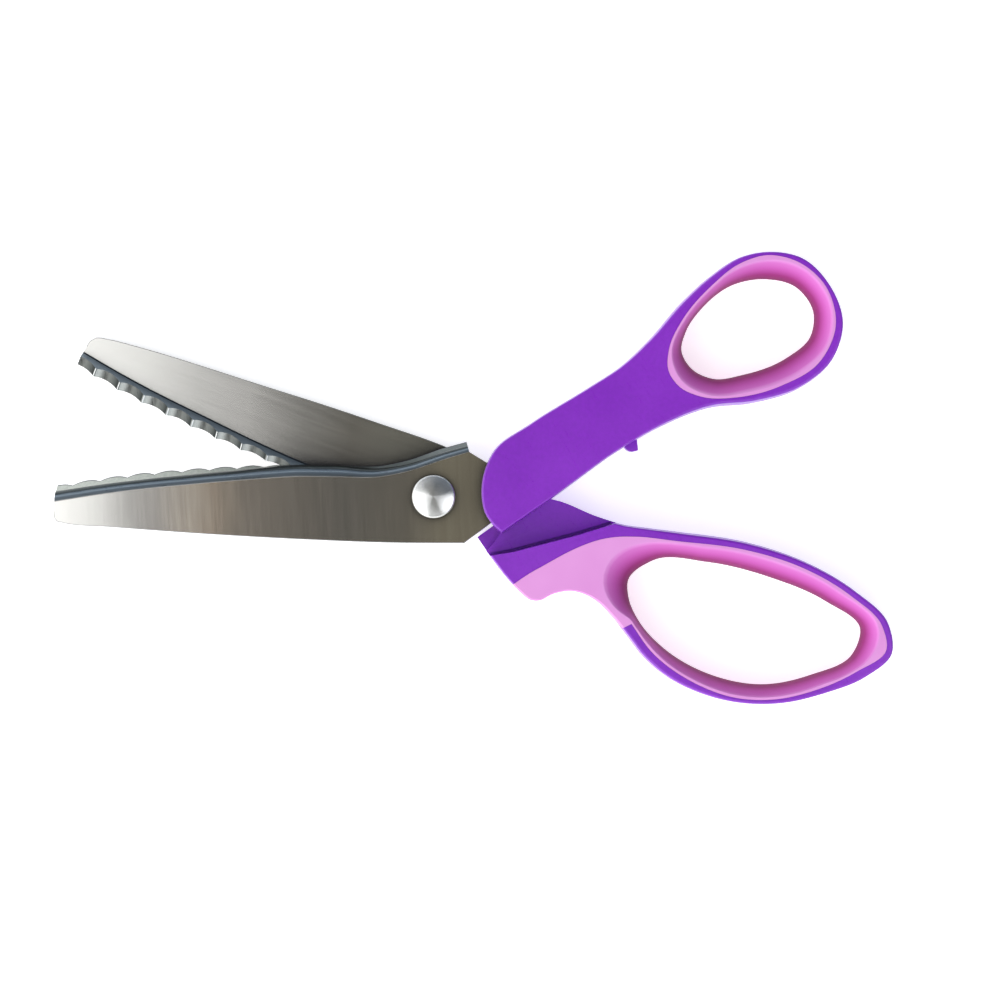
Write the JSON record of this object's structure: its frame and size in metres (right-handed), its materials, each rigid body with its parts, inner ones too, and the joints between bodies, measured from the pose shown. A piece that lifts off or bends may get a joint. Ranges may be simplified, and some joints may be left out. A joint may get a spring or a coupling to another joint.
{
  "type": "pinking shears",
  "caption": "Pinking shears lying open: two stamped blades with folded, scalloped cutting edges on a screw pivot, a round thumb bow and a long finger bow in hard plastic with soft pads.",
  "frame": {"origin": "centre of the pivot screw's back end face, on the plane the shears lie on", "axes": "+Z along the pivot axis, out of the front faces; blades point towards -X and handles towards +X; +Y towards the thumb bow"},
  "size_m": [0.2276, 0.1233, 0.015],
  "materials": {
    "front_blade": "satin brushed",
    "back_blade": "satin brushed",
    "pivot_screw": "turned and polished",
    "pivot_spacer": "plain",
    "friction_washer": "plain nylon",
    "spring_washer": "plain",
    "pivot_nut": "plated",
    "thumb_handle": "satin moulded",
    "thumb_grip": "matt soft-touch",
    "finger_handle": "satin moulded",
    "finger_grip": "matt soft-touch"
  },
  "bodies": {
    "thumb_half": {"front_blade": "front_blade", "thumb_handle": "thumb_handle", "thumb_grip": "thumb_grip", "pivot_screw": "pivot_screw", "pivot_spacer": "pivot_spacer", "spring_washer": "spring_washer", "pivot_nut": "pivot_nut"},
    "finger_half": {"back_blade": "back_blade", "finger_handle": "finger_handle", "finger_grip": "finger_grip", "friction_washer": "friction_washer"}
  },
  "joints": [
    {"name": "pivot", "type": "hinge", "parent": "thumb_half", "child": "finger_half", "pos_m": [0, 0, 0.0075], "axis": [0, 0, 1], "range_deg": [-40, 19.5]}
  ]
}
